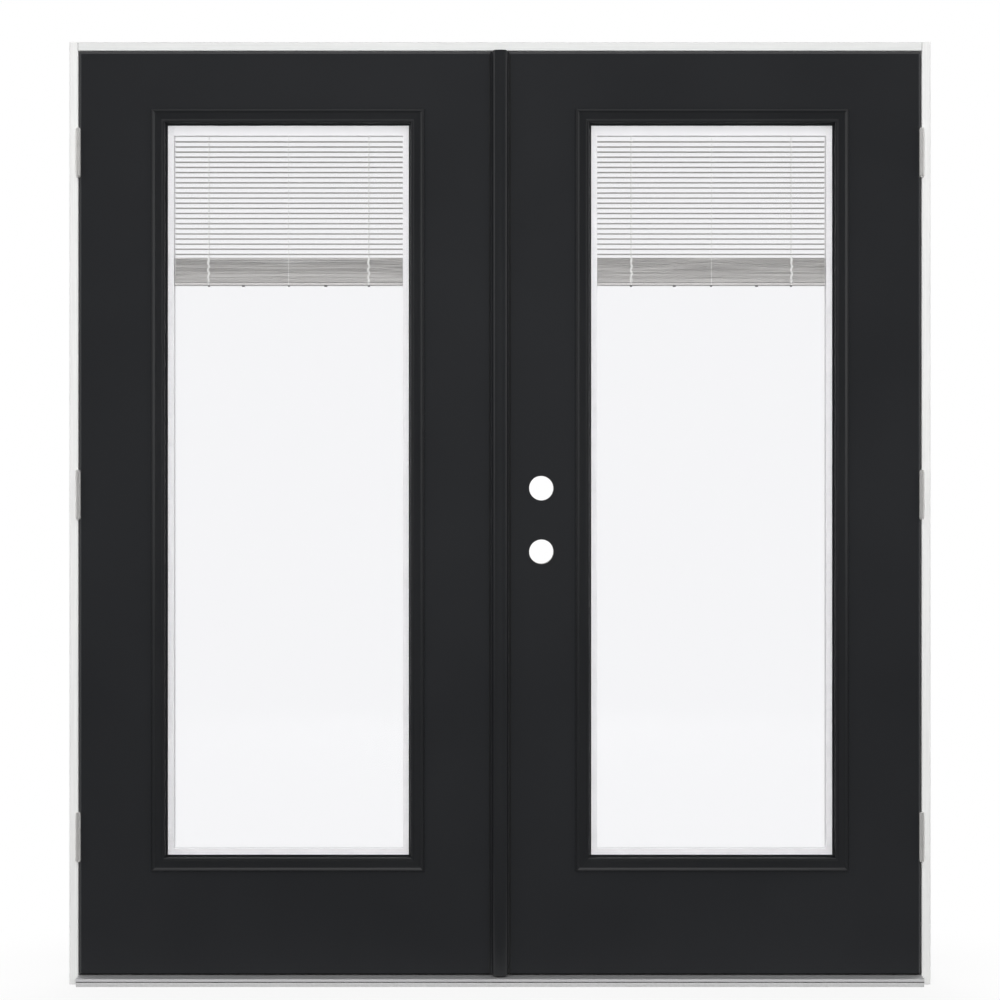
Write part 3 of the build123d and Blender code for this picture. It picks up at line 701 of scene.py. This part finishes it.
# the bar's coat is sprayed, so its grain has no direction; it is drawn greyer than the white coat, as painted
# shade
bar_coat_painted_shade = even_skin("white_coat_greyed_as_painted_shade_on_bottom_bar", "#c8c6c4", "#d0cecc", 4.0, 0.45, 0.05)
dress(cassette_coat, *both("blind_cassette", "blind_headrail"))
dress(slat_coat_painted_shade, *both("blind_slats"))

# moulded ABS: white, smooth and a little glossy
slider_plastic = even_skin("moulded_white_abs", "#e8e8e8", "#eeeeee", 2.0, 0.28, 0.05)
dress(slider_plastic, *both("lift_slider", "tilt_slider"))

# %% [markdown]
# ## Small shapes by lofting
# The fine pieces are all skins over rows of points: a slat is its crowned section carried along, a cord is a
# ring carried along its line, a screw head is a few rings of shrinking size. Curves with a bevel could do
# some of them, but not the slats or screws. So one function joins rings of points into a closed skin, and
# another turns the finished skin into an object that rides on its body.


# %% Loft and piece helpers
def loft(shape, rings, finish=0):
    """Join rings of points, one after the other, into a closed skin with flat ends."""
    loops = [[shape.verts.new(point) for point in ring] for ring in rings]
    for ring, following in zip(loops, loops[1:]):
        for i, corner in enumerate(ring):
            after = (i + 1) % len(ring)
            face = shape.faces.new((corner, ring[after], following[after], following[i]))
            face.smooth = True
            face.material_index = finish
    for end in (loops[0], loops[-1]):
        cap = shape.faces.new(end)
        cap.material_index = finish
        for edge in cap.edges:
            edge.smooth = False


def ring_round(centre, normal, across, radius, sides):
    """Points on a circle round a centre, square to a normal; across is any direction off the normal."""
    first = normal.cross(across).normalized()
    second = normal.cross(first).normalized()
    turns = [2 * math.pi * i / sides for i in range(sides)]
    return [centre + radius * (math.cos(a) * first + math.sin(a) * second) for a in turns]


def strand(shape, points, radius, across, sides=6):
    """A cord along a row of points."""
    rings = []
    for i, point in enumerate(points):
        before = points[max(i - 1, 0)]
        after = points[min(i + 1, len(points) - 1)]
        rings.append(ring_round(point, (after - before).normalized(), across, radius, sides))
    loft(shape, rings)


def piece(name, shape, materials, body, stands_for=()):
    """Turn a finished skin into an object that rides on a body."""
    bmesh.ops.recalc_face_normals(shape, faces=shape.faces)
    mesh = bpy.data.meshes.new(name)
    shape.to_mesh(mesh)
    shape.free()
    for material in materials:
        mesh.materials.append(material)
    thing = bpy.data.objects.new(name, mesh)
    scene.collection.objects.link(thing)
    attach(thing, body)
    if stands_for:
        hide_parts(*stands_for)
    print(f"{name}: {len(mesh.polygons)} faces on {body}")


# %% [markdown]
# ## Gathered slats
# The blind is nearly all raised: some hundred and ten slats lie gathered on the bottom bar. They are real
# thin crowned strips here, because the grey of the gather comes from the dark slits between them, and from the
# painted shade in the slats' grey coat. Most of them nest, and a few gape, more so towards the top, where less
# weight presses them together. Each stretch between the ladders and each free end has its own row of steps, and
# a slat runs from one row to the next, so that no two slats cross.

# %% Gathered slats
# the thickness of the hanging slats comes from the solids; gathered ones are drawn as thin as real ones
slat_crown = 1.7 * MM
slat_thick = 0.35 * MM
gathered_thick = 0.2 * MM
nested_pitch = 0.21 * MM
slat_rows = 4
slat_stations = 20
gathered = 110
foot_gape_share = 0.2
gape_power = 6
ladder_share = 0.71
bend_power = 1.5
edge_shift = 0.25 * MM


def crown_at(share):
    """How far a slat's section stands above its edges, at a share of the way from front to back."""
    return slat_crown * (1 - (2 * share - 1) ** 2)


def slat_section(x, front, back, foot):
    """The closed section of a crowned slat at one station; foot is the height of its edges."""
    top = []
    under = []
    for i in range(slat_rows + 1):
        share = i / slat_rows
        y = front + share * (back - front)
        z = foot + crown_at(share)
        top.append(Vector((x, y, z + gathered_thick)))
        under.append(Vector((x, y, z)))
    return top + under[::-1]


def stacked_heights(room, chance):
    """Heights of the gathered slats over the bar: they nest or gape a little, more so towards the top."""
    gapes = []
    for i in range(gathered - 1):
        growth = foot_gape_share + 2 * (1 - foot_gape_share) * i / gathered
        gapes.append(growth * chance.random() ** gape_power)
    unit = (room - (gathered - 1) * nested_pitch) / sum(gapes)
    return [i * nested_pitch + unit * sum(gapes[:i]) for i in range(gathered)]


def gather_slats(shape, near, far, front, back, foot, top, chance):
    """Lay slats on each other between two heights, each running from one row of steps to the next."""
    room = top - foot - slat_crown - gathered_thick
    ends = [stacked_heights(room, chance) for _ in range(2)]
    at_ladders, at_middle = [stacked_heights(room, chance) for _ in range(2)]
    for i in range(gathered):
        # the first and the last slat keep their full width, so that the piece fills its box
        shift = chance.uniform(0, 1) * edge_shift if 0 < i < gathered - 1 else 0
        rings = []
        for k in range(slat_stations + 1):
            share = k / slat_stations
            side = 2 * share - 1
            free = max((abs(side) - ladder_share) / (1 - ladder_share), 0) ** bend_power
            held = max(1 - abs(side) / ladder_share, 0) ** bend_power
            height = (
                free * ends[side > 0][i] + held * at_middle[i] + (1 - free - held) * at_ladders[i]
            )
            x = near + share * (far - near)
            rings.append(slat_section(x, front + shift, back - shift, foot + height))
        loft(shape, rings)


print(f"{gathered} slats, {gathered_thick / MM:.2f} mm thick, nested every {nested_pitch / MM:.2f} mm")

# %% [markdown]
# ## Bottom bar and cord plugs
# The bar under the gather is a low strip, rolled so that its edges are round. The ends of the cords sit under
# it in dark plugs, and those of the two lift cords are larger. A bevelled box would do for the bar, but its
# outline carried along is just as short and joins the slats in one mesh, which stands for the solid gather.

# %% Bottom bar, plugs and the finished gather
bar_height = 5.5 * MM
bar_slit = 0.9 * MM
bar_edge = 1.6 * MM
bar_edge_steps = 4
plug_drop = 2.2 * MM
plug_radius = 2.6 * MM
plug_sides = 16
plug_shares = (-1.0, -0.57, 0.0, 0.46, 1.0)
plug_sizes = (1.0, 1.3, 0.8, 1.3, 1.0)
# radius and depth of a plug's rings, as shares of its radius and drop; the first lies inside the bar
plug_profile = ((1.0, -0.3), (1.0, 0.75), (0.9, 0.95), (0.6, 1.0))
ladder_spread = 176.0 * MM
UP = Vector((0, 0, 1))
ALONG = Vector((1, 0, 0))
INWARD = Vector((0, 1, 0))


def rolled_bar(shape, near, far, front, back, foot, top, finish):
    """The bottom bar: a low rolled strip with round edges."""
    outline = []
    for y, z, turn in ((front, foot, 180), (back, foot, 270), (back, top, 0), (front, top, 90)):
        inward_y = 1 if y == front else -1
        inward_z = 1 if z == foot else -1
        for step in range(bar_edge_steps + 1):
            angle = math.radians(turn + 90 * step / bar_edge_steps)
            outline.append(
                (
                    y + inward_y * bar_edge + bar_edge * math.cos(angle),
                    z + inward_z * bar_edge + bar_edge * math.sin(angle),
                )
            )
    loft(shape, [[Vector((x, y, z)) for y, z in outline] for x in (near, far)], finish)


def cord_plug(shape, x, y, bar_foot, radius, finish):
    """A plug under the bar, narrowing downwards."""
    rings = []
    for radius_share, drop_share in plug_profile:
        centre = Vector((x, y, bar_foot - drop_share * plug_drop))
        rings.append(ring_round(centre, UP, ALONG, radius_share * radius, plug_sides))
    loft(shape, rings, finish)


chance = random.Random(7)
for side in SIDES:
    lo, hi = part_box(f"{side}_blind_bottom_rail")
    bar_foot = lo.z + plug_drop
    bar_top = bar_foot + bar_height
    centre = (lo.x + hi.x) / 2
    mid_depth = (lo.y + hi.y) / 2
    shape = bmesh.new()
    gather_slats(shape, lo.x, hi.x, lo.y, hi.y, bar_top + bar_slit, hi.z, chance)
    rolled_bar(shape, lo.x, hi.x, lo.y, hi.y, bar_foot, bar_top, finish=2)
    for share, size in zip(plug_shares, plug_sizes):
        x = centre + (share if side == "left" else -share) * ladder_spread
        cord_plug(shape, x, mid_depth, bar_foot, size * plug_radius, finish=1)
    piece(
        f"{side}_gathered_slats",
        shape,
        (slat_coat_painted_shade, black_rubber, bar_coat_painted_shade),
        f"{side}_leaf",
        (f"{side}_blind_bottom_rail",),
    )

# %% [markdown]
# ## Ladder and lift cords
# Two ladders of white braid carry the slats: a string before and one behind, with a rung under each slat.
# Where the slats are gathered the front string has slack, and it folds into a small zigzag that reads as a
# white band. The folds are a sampled wave with swings of uneven width, which also wanders a little to both
# sides. The lift cord at mid width stays straight.

# %% Cords
# polyester braid: bright white and matt
braid = even_skin("white_polyester_braid", "#eeeeec", "#fafaf8", 1.0, 0.75, 0.2)
cord_clear = 0.1 * MM
rung_radius = 0.25 * MM
slack_width = 3.0 * MM
slack_pitch = 2.0 * MM
slack_least_share = 0.7
slack_wander = 1.6 * MM
slack_waves = 7
fold_points = 10
hanging = 23


def slack_string(x, front, top, gather_top, gather_foot, foot, chance):
    """The line of a front string: straight beside the hanging slats, folded over the gather."""
    line = [Vector((x, front, top)), Vector((x, front, gather_top))]
    folds = int((gather_top - gather_foot) / slack_pitch)
    for i in range(folds):
        swing = slack_width * chance.uniform(slack_least_share, 1.0)
        for k in range(fold_points):
            share = (i + (k + 0.5) / fold_points) / folds
            z = gather_top + share * (gather_foot - gather_top)
            wander = slack_wander * math.sin(math.pi * share) * math.sin(slack_waves * math.pi * share)
            fold = swing * math.sin(2 * math.pi * share * folds)
            line.append(Vector((x + wander + fold, front, z)))
    return line + [Vector((x, front, gather_foot)), Vector((x, front, foot))]


def ladder_rung(x, front, back, foot):
    """The line of a rung, which follows the crown of the slat that lies on it."""
    rung = []
    for k in range(slat_rows + 1):
        share = k / slat_rows
        rung.append(Vector((x, front + share * (back - front), foot + crown_at(share))))
    return rung


for side in SIDES:
    lo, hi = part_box(f"{side}_blind_cords")
    slat_lo, slat_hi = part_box(f"{side}_blind_slats")
    gather_lo, gather_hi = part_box(f"{side}_blind_bottom_rail")
    centre = (lo.x + hi.x) / 2
    cord_radius = (slat_lo.y - lo.y) / 2 - cord_clear
    front = lo.y + cord_radius
    back = hi.y - cord_radius
    gather_foot = gather_lo.z + plug_drop + bar_height
    pitch = (slat_hi.z - slat_lo.z - slat_crown - slat_thick) / (hanging - 1)
    shape = bmesh.new()
    for way in (-1, 1):
        x = centre + way * ladder_spread
        line = slack_string(x, front, hi.z, gather_hi.z, gather_foot, lo.z, chance)
        strand(shape, line, cord_radius, INWARD)
        strand(shape, [Vector((x, back, hi.z)), Vector((x, back, lo.z))], cord_radius, INWARD)
        for i in range(hanging):
            rung = ladder_rung(x, front, back, slat_lo.z + i * pitch - rung_radius)
            strand(shape, rung, rung_radius, ALONG, sides=5)
    lift_cord = [Vector((centre, front, hi.z)), Vector((centre, front, lo.z))]
    strand(shape, lift_cord, cord_radius, INWARD)
    piece(
        f"{side}_ladder_cords",
        shape,
        (braid,),
        f"{side}_leaf",
        (f"{side}_blind_cords",),
    )

# %% [markdown]
# ## Hinge screws
# Each hinge plate is held by four countersunk screws with oval heads and a cross recess, set in a zigzag so
# that they don't split the wood. A cut recess would need a Boolean. Here the heads are rings of points: the
# foot, the dome, the edge of the recess and its floor. A ray finds the plate that each screw sits on, and one
# mesh holds all the screws of a body on one side.

# %% Hinge screws
screw_radius = 4.2 * MM
screw_dome = 0.55 * MM
recess_floor = 0.12 * MM
recess_arm = 2.2 * MM
recess_half = 0.6 * MM
screw_sunk = 0.2 * MM
screw_rim = 0.1 * MM
# radius and rise of the dome's rings, as shares of those of the head
dome_profile = ((0.85, 0.65), (0.66, 1.0))
recess_floor_share = 0.8
# how far each screw lies from the hinge edge and above mid hinge, in millimetres
screw_places = ((28.0, -38.0), (13.0, -15.0), (28.0, 15.0), (13.0, 38.0))
search_distance = 0.1
hinge_length = 101.6 * MM


def cross_outline(turn):
    """The outline of a cross recess, two points to each edge."""
    corners = []
    for quarter in range(4):
        spin = Matrix.Rotation(math.radians(90 * quarter + turn), 2)
        corners.append(spin @ Vector((recess_arm, -recess_half)))
        corners.append(spin @ Vector((recess_arm, recess_half)))
        corners.append(spin @ Vector((recess_half, recess_half)))
    outline = []
    for i, corner in enumerate(corners):
        outline += [corner, (corner + corners[(i + 1) % len(corners)]) / 2]
    return outline


def screw_head(shape, seat, outward, turn):
    """A screw head on a plate that faces along X, outward being 1 or -1."""
    outline = cross_outline(turn)
    rounds = [point.normalized() for point in outline]
    layers = [
        ([screw_radius * point for point in rounds], -screw_sunk),
        ([screw_radius * point for point in rounds], screw_rim),
    ]
    for radius_share, rise_share in dome_profile:
        dome = [radius_share * screw_radius * point for point in rounds]
        layers.append((dome, rise_share * screw_dome))
    layers.append((outline, screw_dome))
    layers.append(([recess_floor_share * point for point in outline], recess_floor))
    rings = []
    for points, rise in layers:
        rings.append([seat + Vector((outward * rise, point.x, point.y)) for point in points])
    loft(shape, rings)


for side in SIDES:
    outward = 1 if side == "left" else -1
    plates = (
        (f"{side}_frame_hinge_screws", f"{side}_hinge_frame_leaves", "frame", outward),
        (f"{side}_door_hinge_screws", f"{side}_hinge_door_leaves", f"{side}_leaf", -outward),
    )
    low, high = (corner.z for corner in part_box(f"{side}_hinge_frame_leaves"))
    heights = (low + hinge_length / 2, (low + high) / 2, high - hinge_length / 2)
    for name, node, body, facing in plates:
        lo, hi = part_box(node)
        hinge_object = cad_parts[node]
        shape = bmesh.new()
        start_x = (lo.x + hi.x) / 2 + facing * search_distance
        for height in heights:
            for reach, rise in screw_places:
                start = Vector((start_x, reach * MM, height + rise * MM))
                hit, seat, _, _ = hinge_object.ray_cast(start, Vector((-facing, 0, 0)))
                if hit:
                    screw_head(shape, seat, facing, chance.uniform(0, 90))
        piece(name, shape, (satin_nickel,), body)

# %% [markdown]
# ## Wiper in the meeting edge
# A slit of three millimetres stays between the astragal and the active leaf. A thin rubber fin along the
# front corner of that leaf closes it to light. It is a tapered strip, thicker at its root, carried up the
# leaf. It rides with the leaf, because so near the outdoor face the leaf's edge hardly moves sideways as it
# opens.

# %% Meeting wiper
# seal rubber, drawn charcoal rather than black as painted light, so that it reads as dark as the leaf and no
# darker in the shade of the slit
wiper_rubber_painted_light = even_skin("seal_rubber_lightened_as_painted_light", "#333334", "#3a3a3b", 2.0, 0.7, 0.2)
wiper_depth = 2.4 * MM
wiper_thick = 0.9 * MM
wiper_clear = 0.25 * MM
tip_front_share = 0.2
tip_back_share = 0.6
astragal_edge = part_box("astragal")[1].x
stile_lo, stile_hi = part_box("right_lock_stile")
root = stile_lo.x
tip = astragal_edge + wiper_clear
front = stile_lo.y + wiper_depth
# the tip is thinner than the root, and set back a little from its face
outline = (
    (root, front),
    (root, front + wiper_thick),
    (tip, front + tip_back_share * wiper_thick),
    (tip, front + tip_front_share * wiper_thick),
)
shape = bmesh.new()
loft(shape, [[Vector((x, y, z)) for x, y in outline] for z in (stile_lo.z, stile_hi.z)])
piece("meeting_wiper", shape, (wiper_rubber_painted_light,), "right_leaf")

# %% [markdown]
# ## Caps on the leaves
# A grey vinyl angle caps the top of each leaf, so that no rain stands on the end grain of the stiles. Its grey
# is a painted highlight: its front lip is the thin pale line under the head of the frame, where light would
# catch the top edge of the leaf. It is an angle of two thin legs, carried along the leaf.

# %% Leaf caps
cap_thick = 0.3 * MM
cap_reach = 20.0 * MM
# extruded vinyl with a slight sheen, drawn dark grey as a painted highlight along the leaf's top edge
cap_vinyl_painted_highlight = even_skin("vinyl_cap_with_painted_highlight", "#3a3a3c", "#414143", 3.0, 0.5, 0.05)
for side in SIDES:
    hinge_lo, hinge_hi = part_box(f"{side}_hinge_stile")
    lock_lo, lock_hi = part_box(f"{side}_lock_stile")
    skin_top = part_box(f"{side}_outdoor_skin")[1].z
    outline = (
        (lock_lo.y - cap_thick, skin_top),
        (lock_lo.y, skin_top),
        (lock_lo.y, lock_hi.z),
        (lock_lo.y + cap_reach, lock_hi.z),
        (lock_lo.y + cap_reach, lock_hi.z + cap_thick),
        (lock_lo.y - cap_thick, lock_hi.z + cap_thick),
    )
    ends = (min(hinge_lo.x, lock_lo.x), max(hinge_hi.x, lock_hi.x))
    shape = bmesh.new()
    loft(shape, [[Vector((x, y, z)) for y, z in outline] for x in ends])
    for face in shape.faces:
        face.smooth = False
    piece(f"{side}_leaf_cap", shape, (cap_vinyl_painted_highlight,), f"{side}_leaf")

# %% [markdown]
# ## Caulk in the joints of the head
# The head sits between the jambs, and the painter closes both butt joints with a bead of caulk. Its grey is
# painted shade: it draws the fine shadow line of each joint. Each bead is a flat strip with sloping sides,
# carried up the joint, that stands a hair proud of the boards.

# %% Head joints
caulk_width = 1.7 * MM
caulk_proud = 0.2 * MM
caulk_end = 1.5 * MM
# acrylic caulk, matt, drawn grey as painted shade for the shadow line of the joint
caulk = even_skin("joint_caulk_with_painted_shade", "#a4a4a4", "#b0b0b0", 3.0, 0.7, 0.1)
head_lo, head_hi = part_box("head_jamb")
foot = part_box("left_lock_stile")[1].z + 2 * caulk_end
shape = bmesh.new()
for joint in (head_lo.x, head_hi.x):
    outline = (
        (joint - caulk_width / 2, head_lo.y + caulk_proud),
        (joint - caulk_width / 4, head_lo.y - caulk_proud),
        (joint + caulk_width / 4, head_lo.y - caulk_proud),
        (joint + caulk_width / 2, head_lo.y + caulk_proud),
    )
    loft(shape, [[Vector((x, y, z)) for x, y in outline] for z in (foot, head_hi.z - caulk_end)])
piece("head_joint_caulk", shape, (caulk,), "frame")

# %% [markdown]
# ## Painted shade under the tread
# A black strip lies in the groove between the nose of the tread and the base. It is painted shade: it draws the
# dark line along the front of the threshold, where the groove lies in shadow. It is a plain strip, set a little
# back from the nose.

# %% Painted shade in the tread groove
shade_strip_setback = 0.4 * MM
shade_strip_depth = 3.6 * MM
shade_strip_height = 1.9 * MM
tread_lo, tread_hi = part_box("threshold_tread")
front = tread_lo.y + shade_strip_setback
outline = (
    (front, tread_lo.z - shade_strip_height),
    (front + shade_strip_depth, tread_lo.z - shade_strip_height),
    (front + shade_strip_depth, tread_lo.z),
    (front, tread_lo.z),
)
shape = bmesh.new()
loft(shape, [[Vector((x, y, z)) for y, z in outline] for x in (tread_lo.x, tread_hi.x)])
# the strip is black rubber in colour only, as painted shade in the groove
piece("tread_groove_painted_shade", shape, (black_rubber,), "frame")
